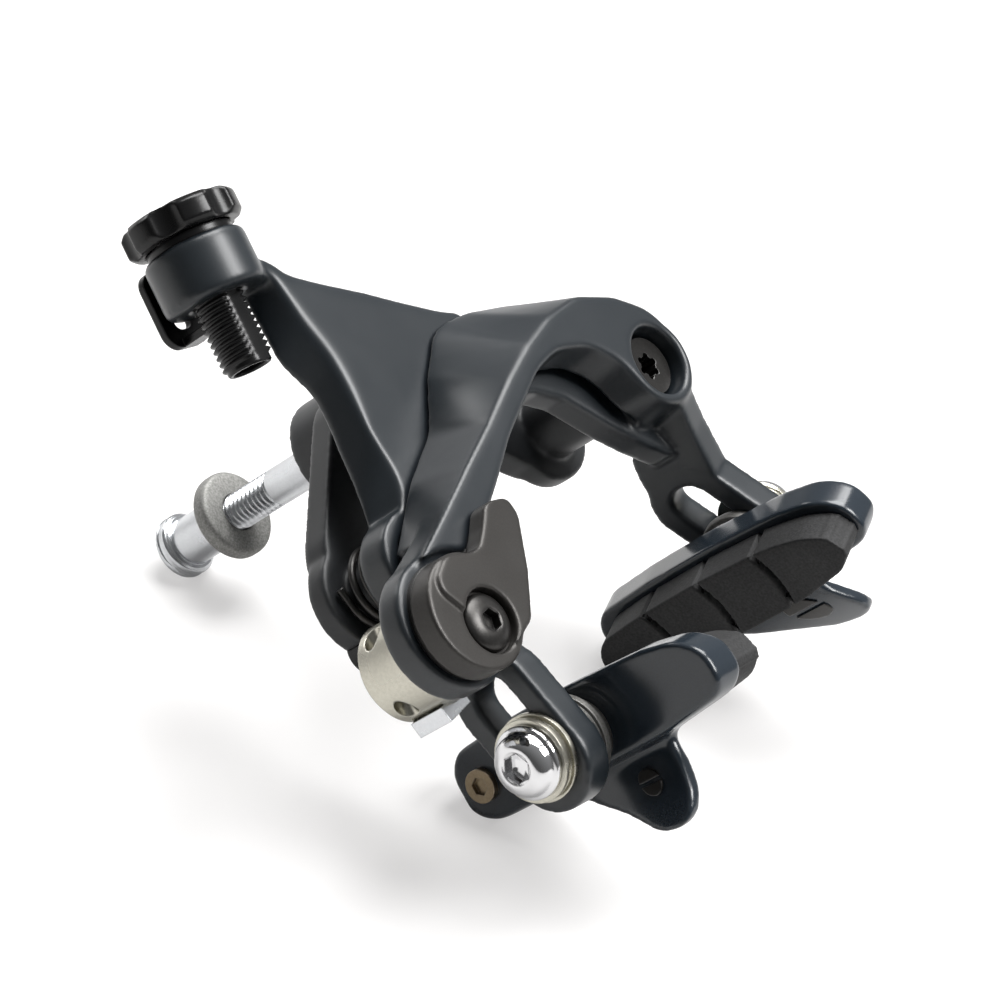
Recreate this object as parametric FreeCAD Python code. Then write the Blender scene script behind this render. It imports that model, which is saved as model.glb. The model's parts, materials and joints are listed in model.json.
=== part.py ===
import FreeCAD, Part
import math
import os

V = FreeCAD.Vector
os.makedirs("parts", exist_ok=True)

# Millimetres. X is to the right seen from the front, Y points back to the fork, Z is up.
# The origin is on the mounting bolt's axis, in the bracket's rear face.

# Mounting hardware
bolt_r = 2.98
bolt_bore_r = 3.01
bolt_end = 33.0
bolt_head_flats = 10.0
bolt_head_t = 4.0
washer_r = 7.0
washer_t = 3.0
washer_front = 22.3
nut_barrel_r = 3.97
nut_barrel_length = 8.8
nut_flange_r = 5.0
nut_flange_t = 3.2
nut_key_flats = 5.0
nut_key_depth = 2.6

# Bracket
boss_r = 8.5
arch_rear = -9.5
arch_front = -14.5
pivot_x = 28.2
pivot_z = -17.3
pivot_boss_r = 8.7
arch_top_z = 8.5
arch_crown_z = -6.8
far_post_r = 5.4
near_post_r = 4.4

# Arms
pivot_bolt_r = 3.0
pivot_head_r = 4.7
star_r = 1.65
running_gap = 0.03
bush_wall = 1.0
side_gap = 0.3
short_rear = -21.0
short_front = -27.0
long_rear = -27.5
long_front = -40.0
hub_r = 8.0
long_hub_r = 9.2
long_hub_front_r = 7.2
lip_t = 5.0
groove_t = 1.3
arm_corner_r = 9.0
recess_depth = 2.6
head_t = 2.4
rest_splay = 12.5

# Legs, in the leg's own frame: X outboard and Z up from the pivot, the leg upright
leg_t = 5.6
leg_mid_x = -0.4
leg_half_width = 7.3
slot_top_z = -22.2
slot_top_y = -27.6
slot_travel = 12.0
slot_width = 6.6
slot_tilt = 15.5

# Roller between the arms
roller_x = 0.8
roller_z = -2.6
roller_r = 2.0
roller_length = 2.8
roller_pin_r = 1.0
roller_room = 0.5

# Barrel adjuster: distances are measured down its axis from the knob's middle
adjuster_y = -22.0
adjuster_x = -22.9
adjuster_z = 41.3
adjuster_tilt = 15.6
knob_r = 8.9
knob_t = 4.4
knob_lobes = 6
knob_scallop_r = 3.4
boss_top = 3.4
boss_length = 8.8
adjuster_boss_r = 7.8
rod_r = 3.9
rod_end = 23.0
rod_flats = 6.4
housing_r = 2.55
housing_depth = 7.0
cable_hole_r = 1.1
clip_t = 1.2
clip_width = 8.6
clip_end_r = 2.6
clip_drop = 3.2
clip_room = 0.02

# Quick release and cable anchor
arm_end_x = -44.5
arm_end_z = -24.3
arm_end_r = 10.0
arm_end_rear = -33.4
arm_end_front = -38.2
qr_x = -43.9
qr_z = -26.8
qr_bolt_r = 2.5
qr_washer_t = 0.9
lever_t = 4.6
lever_disc_r = 8.8
lever_disc_offset = (-1.0, 2.3)
lever_room = 0.6
lever_corner_r = 3.0
anchor_r = 7.4
anchor_rear = -23.0

# Pads, measured from the stud on the slot's centre line
stud_drop = 10.5
stud_r = 2.97
stud_depth = 4.6
outer_stack = 2.3
inner_stack = 4.6
holder_t = 6.2
rubber_depth = 6.4
groove_depth = 3.0
groove_half_width = 1.5
groove_places = (-14.5, -1.5, 11.5)
guide_t = 2.6
holder_corner_r = 9.0
rubber_corner_r = 6.0
guide_corner_r = 5.0
screw_r = 3.2


def cylinder(r, x, z, y_front, y_rear):
    """A round bar along Y."""
    return Part.makeCylinder(r, y_rear - y_front, V(x, y_front, z), V(0, 1, 0))


def rounded_wire(corners, radius):
    """A closed outline through the corners, each one rounded with this radius where it fits."""
    edges = []
    count = len(corners)
    starts, ends, middles = [], [], []
    for k, corner in enumerate(corners):
        before = corners[k - 1] - corner
        after = corners[(k + 1) % count] - corner
        angle = before.getAngle(after)
        cut = min(radius / math.tan(angle / 2), 0.45 * before.Length, 0.45 * after.Length)
        r = cut * math.tan(angle / 2)
        bisector = before.normalize() + after.normalize()
        bisector.normalize()
        middles.append(corner + bisector * (r / math.sin(angle / 2) - r))
        starts.append(corner + before * cut)
        ends.append(corner + after * cut)
    for k in range(count):
        edges.append(Part.Arc(starts[k], middles[k], ends[k]).toShape())
        edges.append(Part.makeLine(ends[k], starts[(k + 1) % count]))
    return Part.Wire(edges)


def plate(points, y_front, y_rear, radius):
    """A flat plate whose outline lies in X and Z."""
    wire = rounded_wire([V(x, y_front, z) for x, z in points], radius)
    return Part.Face(wire).extrude(V(0, y_rear - y_front, 0))


def lofted(front_points, rear_points, y_front, y_rear, radius):
    """A body with straight walls between a front outline and a rear one with as many corners."""
    wires = []
    for points, y in ((rear_points, y_rear), (front_points, y_front)):
        wires.append(rounded_wire([V(x, y, z) for x, z in points], radius))
    return Part.makeLoft(wires, True, True)


def side_plate(points, x_low, x_high, radius):
    """A flat plate whose outline lies in Y and Z."""
    wire = rounded_wire([V(x_low, y, z) for y, z in points], radius)
    return Part.Face(wire).extrude(V(x_high - x_low, 0, 0))


def hexagon(across_flats, height, base, axis):
    """A hexagonal bar that starts at base and runs along axis."""
    r = across_flats / math.sqrt(3)
    corners = [V(r * math.cos(math.pi / 3 * k), r * math.sin(math.pi / 3 * k), 0) for k in range(7)]
    bar = Part.Face(Part.makePolygon(corners)).extrude(V(0, 0, height))
    bar.Placement = FreeCAD.Placement(base, FreeCAD.Rotation(V(0, 0, 1), axis))
    return bar


def at_leg(shape, side):
    """Move a piece from the upright leg frame to its place at rest."""
    placed = shape.copy() if side > 0 else shape.mirror(V(0, 0, 0), V(1, 0, 0))
    placed.rotate(V(0, 0, 0), V(0, 1, 0), -side * rest_splay)
    placed.translate(V(side * pivot_x, 0, pivot_z))
    return placed


def at_adjuster(shape):
    """Move a piece built down the -Z axis to the adjuster's tilted axis."""
    placed = shape.copy()
    placed.rotate(V(0, 0, 0), V(0, 1, 0), adjuster_tilt)
    placed.translate(V(adjuster_x, adjuster_y, adjuster_z))
    return placed


def along_slot(distance):
    """Y and Z of a point of the slot's centre line, in the leg frame."""
    tilt = math.radians(slot_tilt)
    return slot_top_y - distance * math.sin(tilt), slot_top_z - distance * math.cos(tilt)


def at_stud(points):
    """Outline points given forward and up from the stud, turned into Y and Z of the leg frame."""
    y, z = along_slot(stud_drop)
    return [(y - forward, z + up) for forward, up in points]


def slot_sides(half_width):
    """The four corners of the slot's straight part with this half width."""
    tilt = math.radians(slot_tilt)
    top_y, top_z = along_slot(0)
    low_y, low_z = along_slot(slot_travel)
    dy = half_width * math.cos(tilt)
    dz = half_width * math.sin(tilt)
    return [(top_y - dy, top_z + dz), (top_y + dy, top_z - dz),
            (low_y + dy, low_z - dz), (low_y - dy, low_z + dz)]


def stadium(half_width, x_low, x_high):
    """A bar with the slot's outline and this half width, through the leg."""
    body = side_plate(slot_sides(half_width), x_low, x_high, 0.01)
    for y, z in (along_slot(0), along_slot(slot_travel)):
        body = body.fuse(Part.makeCylinder(half_width, x_high - x_low, V(x_low, y, z), V(1, 0, 0)))
    return body.removeSplitter()


def build_leg(front_root, rear_root):
    """A leg with its slot, widened from the hub down to the slot."""
    x_low = leg_mid_x - leg_t / 2
    x_high = leg_mid_x + leg_t / 2
    blade = side_plate(front_root + slot_sides(leg_half_width)[:2] + rear_root, x_low, x_high, 1.0)
    blade = blade.fuse(stadium(leg_half_width, x_low, x_high)).removeSplitter()
    return blade.cut(stadium(slot_width / 2, x_low - 1, x_high + 1))


def roller_when_closed():
    """Where the roller stands in the long arm once both arms have turned upright."""
    turn = math.radians(rest_splay)
    out = roller_x + pivot_x
    up = roller_z - pivot_z
    closed_x = out * math.cos(turn) - up * math.sin(turn) - 2 * pivot_x
    closed_z = out * math.sin(turn) + up * math.cos(turn)
    return (pivot_x + closed_x * math.cos(turn) - closed_z * math.sin(turn),
            pivot_z + closed_x * math.sin(turn) + closed_z * math.cos(turn))


def build_bracket():
    outline = [(-pivot_x - 5.5, pivot_z + 6.8), (-9.0, arch_top_z - 0.8), (9.0, arch_top_z - 0.8),
               (pivot_x + 5.5, pivot_z + 6.8), (pivot_x + 1.0, pivot_z - 7.5),
               (pivot_x - 8.0, pivot_z - 3.5), (9.5, arch_crown_z),
               (-9.5, arch_crown_z), (-pivot_x + 8.0, pivot_z - 3.5),
               (-pivot_x - 1.0, pivot_z - 7.5)]
    body = plate(outline, arch_front, arch_rear, arm_corner_r)
    body = body.fuse(cylinder(boss_r, 0, 0, arch_front, 0))
    for x in (-pivot_x, pivot_x):
        body = body.fuse(cylinder(pivot_boss_r, x, pivot_z, arch_front, arch_rear - 1.0))
    body = body.fuse(cylinder(far_post_r, pivot_x, pivot_z, long_rear + side_gap, arch_front))
    body = body.fuse(cylinder(near_post_r, -pivot_x, pivot_z, short_rear + side_gap, arch_front))
    body = body.removeSplitter()
    body = body.cut(cylinder(bolt_bore_r, 0, 0, arch_front - 1, 1))
    for x in (-pivot_x, pivot_x):
        body = body.cut(cylinder(pivot_bolt_r, x, pivot_z, long_rear, arch_rear - 2.0))
    return body


def build_mounting_bolt():
    shank = cylinder(bolt_r, 0, 0, arch_front, bolt_end)
    return shank.fuse(hexagon(bolt_head_flats, bolt_head_t, V(0, arch_front, 0), V(0, -1, 0)))


def build_fork_washer():
    ring = cylinder(washer_r, 0, 0, washer_front, washer_front + washer_t)
    ring = ring.makeChamfer(0.6, [e for e in ring.Edges if e.Closed])
    return ring.cut(cylinder(bolt_r + running_gap, 0, 0, washer_front - 1, washer_front + washer_t + 1))


def build_sunken_nut():
    start = washer_front + washer_t
    flange_from = start + nut_barrel_length
    flange_to = flange_from + nut_flange_t
    flange = cylinder(nut_flange_r, 0, 0, flange_from, flange_to)
    flange = flange.makeChamfer(0.5, [e for e in flange.Edges if e.Closed])
    body = flange.fuse(cylinder(nut_barrel_r, 0, 0, start, flange_from))
    body = body.cut(cylinder(bolt_r, 0, 0, start - 1, bolt_end + side_gap))
    return body.cut(hexagon(nut_key_flats, nut_key_depth + 1, V(0, flange_to + 1, 0), V(0, -1, 0)))


def from_point(x, z, offsets):
    """Outline points given as offsets from a place in X and Z."""
    return [(x + dx, z + dz) for dx, dz in offsets]


def build_long_arm():
    end_front = from_point(arm_end_x, arm_end_z, [(-1.0, 4.3), (-0.5, 9.7), (8.2, 11.9), (19.1, 14.7)])
    end_rear = from_point(arm_end_x, arm_end_z, [(0.5, -0.7), (0.7, 5.1), (9.7, 10.1), (22.2, 16.9)])
    hub_front = from_point(pivot_x, pivot_z, [(-16.7, 16.0), (-8.0, 15.6), (-0.2, 11.8), (5.8, 6.4)])
    hub_rear = from_point(pivot_x, pivot_z, [(-16.7, 23.4), (-7.7, 20.2), (0.8, 13.8), (7.2, 7.4)])
    inner_front = from_point(pivot_x, pivot_z, [(7.4, -3.6), (-2.8, -6.9), (-6.6, -3.5), (-8.2, 3.8),
                                                (-12.2, 8.7), (-19.0, 11.5)])
    inner_rear = from_point(pivot_x, pivot_z, [(8.6, -4.0), (-5.6, -6.7), (-9.7, -3.2), (-11.7, 3.3),
                                               (-15.7, 7.7), (-21.7, 9.9)])
    under_front = [(2.5, -6.1), (-5.6, -8.5), (-12.1, -10.5), (-20.3, -14.0), (-27.0, -16.6)]
    under_rear = [(0.0, -7.4), (-6.5, -8.9), (-12.5, -10.6), (-20.3, -14.0), (-27.0, -16.6)]
    front = end_front + [(-14.2, -6.8), (-5.0, -4.3), (3.7, -2.4)] + hub_front + inner_front + under_front
    rear = end_rear + [(-12.2, -3.8), (-5.2, 2.4), (3.2, 7.6)] + hub_rear + inner_rear + under_rear
    body = lofted(front, rear, long_front, long_rear, arm_corner_r)
    behind_end = from_point(arm_end_x, arm_end_z, [(-15.5, 9.7), (0.5, 9.7), (10.5, 10.7), (13.5, -15.7),
                                                   (-15.5, -15.7)])
    body = body.cut(plate(behind_end, arm_end_rear, long_rear + 1, 1.0))
    neck = from_point(arm_end_x, arm_end_z, [(-2.3, 9.4), (14.5, 12.9), (20.5, 9.7), (9.7, 0.0), (0.5, -5.7),
                                             (-9.1, 0.3)])
    body = body.fuse(plate(neck, arm_end_front, arm_end_rear, 2.0))
    body = body.fuse(cylinder(arm_end_r, arm_end_x, arm_end_z, arm_end_front, arm_end_rear))
    bed = from_point(qr_x, qr_z, [(-16.0, 10.4), (-4.0, 11.2), (0.0, 12.0), (12.0, 0.0), (11.0, -13.0),
                                  (-16.0, -13.0)])
    bed_r = lever_disc_r + math.hypot(*lever_disc_offset) + lever_room
    bed_tool = plate(bed, long_front - 1, arm_end_front, 1.0)
    body = body.cut(bed_tool.fuse(cylinder(bed_r, qr_x, qr_z, long_front - 1, arm_end_front)))
    hub = Part.makeCone(long_hub_r, long_hub_front_r, long_rear - long_front,
                        V(pivot_x, long_rear, pivot_z), V(0, -1, 0))
    body = body.fuse(hub)
    lip = from_point(pivot_x, pivot_z, [(-24.5, 9.9), (-19.4, 7.6), (-15.0, 4.0), (-12.6, 0.5),
                                        (-9.7, -3.8), (-5.8, -8.7), (-1.1, -13.7), (2.8, -13.7),
                                        (6.8, -2.7), (-3.2, 6.3), (-14.0, 11.5)])
    body = body.fuse(plate(lip, long_rear - lip_t, long_rear, 1.5))
    groove = from_point(pivot_x, pivot_z, [(-24.2, 8.3), (-18.6, 13.5), (-12.7, 11.3), (-7.2, 5.8),
                                           (-5.6, 0.3), (-5.4, -7.3), (-8.2, -8.1), (-16.2, -4.7)])
    body = body.cut(plate(groove, long_rear - lip_t - groove_t, long_rear - lip_t, 1.0))
    blade = build_leg([(long_rear, 4.0), (-39.6, 4.0), (-39.4, -6.5), (-37.0, -12.5)],
                      [(-22.9, -14.5), (-24.3, -11.0), (long_rear, -9.0)])
    body = body.fuse(at_leg(blade, 1))
    bush_front = long_front + recess_depth + head_t
    recess = Part.makeCone(pivot_head_r + side_gap, pivot_head_r + 1.0, recess_depth + head_t,
                           V(pivot_x, bush_front, pivot_z), V(0, -1, 0))
    body = body.cut(recess)
    gap = roller_r + roller_room
    far_x, far_z = roller_when_closed()
    pocket = [(roller_x + gap, roller_z - gap), (roller_x + gap, roller_z + gap),
              (roller_x - 1.0, roller_z + gap), (far_x, far_z + gap), (far_x - gap, far_z + 1.0),
              (far_x - gap, far_z - gap)]
    pocket_end = short_front - roller_length - 2 * side_gap
    body = body.cut(plate(pocket, pocket_end, long_rear + 1, 0.8))
    bush_r = pivot_bolt_r + running_gap + bush_wall
    body = body.cut(cylinder(bush_r, pivot_x, pivot_z, bush_front, long_rear + 1))
    body = body.cut(cylinder(qr_bolt_r, qr_x, qr_z, long_front - 1, arm_end_rear + 1))
    return body.removeSplitter()


def build_short_arm():
    hub_side = from_point(-pivot_x, pivot_z, [(0.0, -7.3), (6.2, -4.2), (15.2, 8.8), (25.2, 12.7)])
    tail = from_point(roller_x, roller_z, [(2.2, -2.0), (5.2, 2.6), (12.4, 8.5), (8.0, 11.0), (1.7, 15.8),
                                           (-4.5, 20.7)])
    neck = [(-10.2, 22.8), (-15.3, 26.8), (-17.6, 30.5), (-22.0, 32.0)]
    flank_rear = [(-20.5, 28.0), (-22.9, 17.0), (-21.2, 10.6), (-22.8, 4.5), (-25.5, -3.6)]
    flank_rear += from_point(-pivot_x, pivot_z, [(-1.3, 5.3), (-6.0, 3.3)])
    flank_front = [(-18.8, 28.5), (-18.9, 20.5), (-18.6, 14.0), (-19.7, 8.5), (-21.8, 2.0)]
    flank_front += from_point(-pivot_x, pivot_z, [(5.8, 10.3), (-0.8, 5.8)])
    body = lofted(flank_front + hub_side + tail + neck, flank_rear + hub_side + tail + neck,
                  short_front, short_rear, arm_corner_r)
    body = body.fuse(cylinder(hub_r, -pivot_x, pivot_z, short_front, short_rear))
    boss = Part.makeCylinder(adjuster_boss_r, boss_length, V(0, 0, -boss_top), V(0, 0, -1))
    boss = boss.makeChamfer(0.6, [e for e in boss.Edges if e.Closed])
    body = body.fuse(at_adjuster(boss))
    blade = build_leg([(short_rear, 4.0), (short_front, 4.0), (short_front, -6.0), (-30.5, -12.5)],
                      [(-20.6, -15.0), (short_rear, -6.0)])
    body = body.fuse(at_leg(blade, -1))
    bush_r = pivot_bolt_r + running_gap + bush_wall
    body = body.cut(cylinder(bush_r, -pivot_x, pivot_z, short_front - 1, short_rear + 1))
    head_room = pivot_head_r + side_gap
    body = body.cut(cylinder(head_room, -pivot_x, pivot_z, short_front - 1, short_front + head_t))
    body = body.cut(at_adjuster(Part.makeCylinder(rod_r + running_gap, 30, V(0, 0, 2), V(0, 0, -1))))
    body = body.cut(cylinder(roller_pin_r, roller_x, roller_z, short_front - 1, short_rear + 1))
    return body.removeSplitter()


def build_pivot_bolt(x, head_front):
    """A pivot bolt with a low head and a six-lobed socket, its tip in the bracket."""
    head = cylinder(pivot_head_r, x, pivot_z, head_front, head_front + head_t)
    body = head.fuse(cylinder(pivot_bolt_r, x, pivot_z, head_front + head_t, arch_rear - 2.0))
    depth = head_front + head_t + 1.0
    socket = cylinder(star_r, x, pivot_z, head_front - 1, depth)
    for k in range(6):
        turn = math.pi / 3 * k
        lobe_x = x + star_r * math.cos(turn)
        lobe_z = pivot_z + star_r * math.sin(turn)
        socket = socket.fuse(cylinder(star_r / 3, lobe_x, lobe_z, head_front - 1, depth))
    return body.cut(socket)


def build_bush(x, y_front, y_rear):
    outer = cylinder(pivot_bolt_r + running_gap + bush_wall, x, pivot_z, y_front, y_rear)
    return outer.cut(cylinder(pivot_bolt_r + running_gap, x, pivot_z, y_front - 1, y_rear + 1))


def build_return_spring():
    """A coil round the near pivot in quarter turns, with a straight tail at each end."""
    wire_r = 0.6
    coil_r = 5.9
    quarters = 8
    pitch = 2.3
    first_y = short_rear + wire_r + side_gap
    tail = 3.5

    def coil_point(quarter):
        turn = math.pi / 2 * quarter
        across = coil_r * math.cos(turn)
        return V(-pivot_x - across, first_y + pitch * quarter / 4, pivot_z + coil_r * math.sin(turn))

    edges = []
    for k in range(quarters):
        edges.append(Part.Arc(coil_point(k), coil_point(k + 0.5), coil_point(k + 1)).toShape())
    low_tail = coil_point(0) + V(0, 0, -tail)
    high_tail = coil_point(quarters) + V(0, 0, tail)
    edges.insert(0, Part.makeLine(low_tail, coil_point(0)))
    edges.append(Part.makeLine(coil_point(quarters), high_tail))
    profile = Part.Wire(Part.makeCircle(wire_r, low_tail, V(0, 0, 1)))
    path = Part.Wire(edges)
    points = path.discretize(Number=240)
    turn_apart = [a.distanceToPoint(b) for i, a in enumerate(points) for b in points[i + 40:]]
    print("least gap between the spring's turns", round(min(turn_apart) - 2 * wire_r, 2))
    return path.makePipeShell([profile], True, False)


def build_spring_cap():
    x = -pivot_x - 4.6
    z = pivot_z - 6.4
    cap = cylinder(3.4, x, z, arch_front - 1.0, arch_rear - 1.5)
    return cap.cut(cylinder(pivot_boss_r, -pivot_x, pivot_z, arch_front - 3, arch_rear))


def build_roller():
    front = short_front - side_gap - roller_length
    body = cylinder(roller_r, roller_x, roller_z, front, short_front - side_gap)
    return body.cut(cylinder(roller_pin_r + running_gap, roller_x, roller_z, long_front, short_front))


def build_roller_pin():
    return cylinder(roller_pin_r, roller_x, roller_z, short_front - side_gap - roller_length, short_rear)


def build_knob():
    body = Part.makeCylinder(knob_r, knob_t, V(0, 0, -knob_t / 2))
    body = body.makeChamfer(0.8, [e for e in body.Edges if e.Closed])
    for k in range(knob_lobes):
        turn = 2 * math.pi / knob_lobes * (k + 0.5)
        out = knob_r + 0.65 * knob_scallop_r
        corner = V(out * math.cos(turn), out * math.sin(turn), -knob_t)
        body = body.cut(Part.makeCylinder(knob_scallop_r, 2 * knob_t, corner))
    under = Part.makeCylinder(knob_r - 2.4, knob_t - 2.0, V(0, 0, -knob_t / 2 - 0.5))
    body = body.cut(under.cut(Part.makeCylinder(rod_r + 1.5, 10, V(0, 0, -5))))
    return at_adjuster(body.cut(Part.makeCylinder(rod_r + running_gap, 20, V(0, 0, -10))))


def build_collar():
    body = Part.makeCylinder(6.6, boss_top - knob_t / 2 - side_gap / 2, V(0, 0, -boss_top))
    return at_adjuster(body.cut(Part.makeCylinder(rod_r + running_gap, 20, V(0, 0, -10))))


def build_adjuster_rod():
    top = knob_t / 2 - 0.6
    body = Part.makeCylinder(rod_r, rod_end + top, V(0, 0, -rod_end))
    body = body.cut(Part.makeCylinder(cable_hole_r, rod_end + top + 2, V(0, 0, -rod_end - 1)))
    body = body.cut(Part.makeCylinder(housing_r, housing_depth + 1, V(0, 0, top - housing_depth)))
    body = body.cut(Part.makeCylinder(housing_r, 4.0, V(0, 0, -rod_end - 1)))
    for flat_y in (-rod_flats / 2 - rod_r, rod_flats / 2):
        corner = V(-rod_r - 1, flat_y, -rod_end)
        body = body.cut(Part.makeBox(2 * rod_r + 2, rod_r, rod_end - boss_top - boss_length, corner))
    return at_adjuster(body)


def build_adjuster_clip():
    """A plate behind the boss, with a tongue at its foot that bears on the rod's rear flat."""
    top = clip_room - boss_top
    low = -boss_top - boss_length - clip_drop
    half = clip_width / 2
    inner = adjuster_boss_r + clip_room
    corners = [V(-half, inner, low), V(-half, inner, top), V(half, inner, top), V(half, inner, low)]
    back = Part.Face(rounded_wire(corners, clip_end_r)).extrude(V(0, clip_t, 0))
    window = [V(-1.7, inner, low + 2.6), V(-1.7, inner, top - 3.0), V(1.7, inner, top - 3.0),
              V(1.7, inner, low + 2.6)]
    back = back.cut(Part.Face(rounded_wire(window, 1.2)).extrude(V(0, clip_t, 0)))
    flat = rod_flats / 2 + running_gap
    tongue_half = half - clip_end_r
    tongue = Part.makeBox(2 * tongue_half, inner + clip_t - flat, clip_t, V(-tongue_half, flat, low))
    return at_adjuster(back.fuse(tongue).removeSplitter())


def build_cable_anchor():
    body = cylinder(anchor_r, qr_x, qr_z, arm_end_rear, anchor_rear)
    body = body.makeChamfer(0.8, [e for e in body.Edges if e.Closed and e.CenterOfMass.y > anchor_rear - 1])
    toward = V(math.sin(math.radians(adjuster_tilt)), 0, math.cos(math.radians(adjuster_tilt)))
    hole_at = V(qr_x - 4.9, anchor_rear - 3.5, qr_z) - toward * 15
    body = body.cut(Part.makeCylinder(cable_hole_r + 0.4, 30, hole_at, toward))
    return body.cut(cylinder(qr_bolt_r, qr_x, qr_z, arm_end_rear - 1, anchor_rear - 2.0))


def build_clamp_plate():
    body = Part.makeBox(5.8, 6.4, 2.4, V(qr_x - 4.4, anchor_rear - 7.4, qr_z - anchor_r - 1.5))
    return body.cut(cylinder(anchor_r, qr_x, qr_z, arm_end_rear, anchor_rear))


def build_qr_washer():
    ring = cylinder(8.6, arm_end_x, arm_end_z, arm_end_front - qr_washer_t, arm_end_front)
    return ring.cut(cylinder(qr_bolt_r + running_gap, qr_x, qr_z, arm_end_front - 3, arm_end_front + 1))


def build_qr_lever():
    rear = arm_end_front - qr_washer_t
    outline = [(-5.6, 9.0), (-0.3, 10.9), (4.5, 8.8), (6.9, 8.5), (10.0, 10.2), (13.6, 12.6), (18.2, 11.0),
               (18.0, 8.0), (12.6, 1.4), (6.8, -4.0), (0.0, -5.0)]
    blade = plate(from_point(qr_x, qr_z, outline), rear - lever_t, long_front - side_gap, lever_corner_r)
    disc_x, disc_z = lever_disc_offset
    body = cylinder(lever_disc_r, qr_x + disc_x, qr_z + disc_z, rear - lever_t + 0.6, rear).fuse(blade)
    body = body.removeSplitter().cut(cylinder(4.8, qr_x, qr_z, rear - lever_t - 1, rear - 2.4))
    return body.cut(cylinder(qr_bolt_r + running_gap, qr_x, qr_z, rear - lever_t, rear + 1))


def build_qr_bolt():
    under_head = arm_end_front - qr_washer_t - 2.4 - running_gap
    head = cylinder(4.3, qr_x, qr_z, under_head - 2.4, under_head)
    body = head.fuse(cylinder(qr_bolt_r, qr_x, qr_z, under_head, anchor_rear - 2.5))
    return body.cut(hexagon(4.0, 1.8, V(qr_x, under_head - 2.4, qr_z), V(0, 1, 0)))


def washer_stack(start, direction, radii, thickness):
    """Thin washers on the stud, counted away from the leg."""
    y, z = along_slot(stud_drop)
    out = V(direction, 0, 0)
    rings = [Part.makeCylinder(r, thickness, V(start, y, z) + out * thickness * k, out)
             for k, r in enumerate(radii)]
    body = rings[0].multiFuse(rings[1:])
    return body.cut(Part.makeCylinder(stud_r, thickness * len(radii) + 2, V(start, y, z) - out, out))


def build_outer_washers():
    return washer_stack(leg_mid_x + leg_t / 2, 1, (6.6, 5.9, 6.2), outer_stack / 3)


def build_inner_washers():
    return washer_stack(leg_mid_x - leg_t / 2, -1, (6.4, 6.9, 6.0, 5.6), inner_stack / 4)


def holder_back():
    """How far outboard the holder's back lies, in the leg frame."""
    return leg_mid_x - leg_t / 2 - inner_stack


def build_pad_bolt():
    y, z = along_slot(stud_drop)
    seat = leg_mid_x + leg_t / 2 + outer_stack
    flange = Part.makeCylinder(5.5, 1.2, V(seat, y, z), V(1, 0, 0))
    dome = Part.makeSphere(5.2, V(seat - 0.4, y, z))
    dome = dome.common(Part.makeCylinder(4.7, 3.4, V(seat + 0.6, y, z), V(1, 0, 0)))
    tip = holder_back() - stud_depth + running_gap
    body = flange.fuse(dome).fuse(Part.makeCylinder(stud_r, seat - tip, V(tip, y, z), V(1, 0, 0)))
    return body.cut(hexagon(4.0, 5.0, V(seat + 1.6, y, z), V(1, 0, 0)))


holder_outline = [(1.0, 7.2), (16.0, 6.7), (22.5, 5.6), (26.4, 2.6), (26.8, -2.0), (24.6, -4.4),
                  (13.0, -5.6), (-22.0, -5.7), (-25.2, -3.4), (-25.5, 3.2), (-22.8, 6.2), (-12.0, 7.0)]
rubber_outline = [(1.0, 5.9), (15.0, 5.4), (22.8, 3.8), (26.2, 0.6), (25.0, -3.0), (13.0, -4.4),
                  (-21.5, -4.6), (-24.6, -1.0), (-22.4, 4.6), (-12.0, 5.6)]
guide_outline = [(12.6, -5.0), (11.2, -9.0), (10.4, -13.4), (8.8, -16.2), (6.0, -17.3), (2.0, -16.6),
                 (-2.0, -12.8), (-6.9, -9.2), (-14.0, -5.0)]


def build_holder():
    back = holder_back()
    body = side_plate(at_stud(holder_outline), back - holder_t, back, holder_corner_r)
    y, z = along_slot(stud_drop)
    bore = Part.makeCylinder(stud_r + running_gap, stud_depth + 1, V(back - stud_depth, y, z), V(1, 0, 0))
    return body.cut(bore)


def build_rubber():
    back = holder_back() - holder_t
    body = side_plate(at_stud(rubber_outline), back - rubber_depth, back, rubber_corner_r)
    y, z = along_slot(stud_drop)
    face = back - rubber_depth
    for forward in groove_places:
        middle = V(face, y - forward, z - 12)
        across = V(0, groove_half_width, 0)
        corners = [middle - across, middle + V(groove_depth, 0, 0), middle + across, middle - across]
        body = body.cut(Part.Face(Part.makePolygon(corners)).extrude(V(0, 0, 24)))
    return body


def build_guide():
    low = holder_back() - holder_t + 1.0
    wing = side_plate(at_stud(guide_outline), low, low + guide_t, guide_corner_r)
    return wing.cut(side_plate(at_stud(holder_outline), low - 1, low + guide_t + 1, holder_corner_r))


def build_guide_screw():
    seat = holder_back() - holder_t + 1.0 + guide_t
    y, z = at_stud([(4.9, -10.2)])[0]
    body = Part.makeCylinder(screw_r, 1.5, V(seat, y, z), V(1, 0, 0))
    return body.cut(Part.makeBox(1.0, 3 * screw_r, 0.9, V(seat + 0.9, y - 1.5 * screw_r, z - 0.45)))


def build_rubber_screw():
    y, z = at_stud([(-20.5, 0.2)])[0]
    body = Part.makeCylinder(2.6, 1.0, V(holder_back(), y, z), V(1, 0, 0))
    return body.cut(hexagon(2.5, 1.0, V(holder_back() + 0.3, y, z), V(1, 0, 0)))


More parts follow.
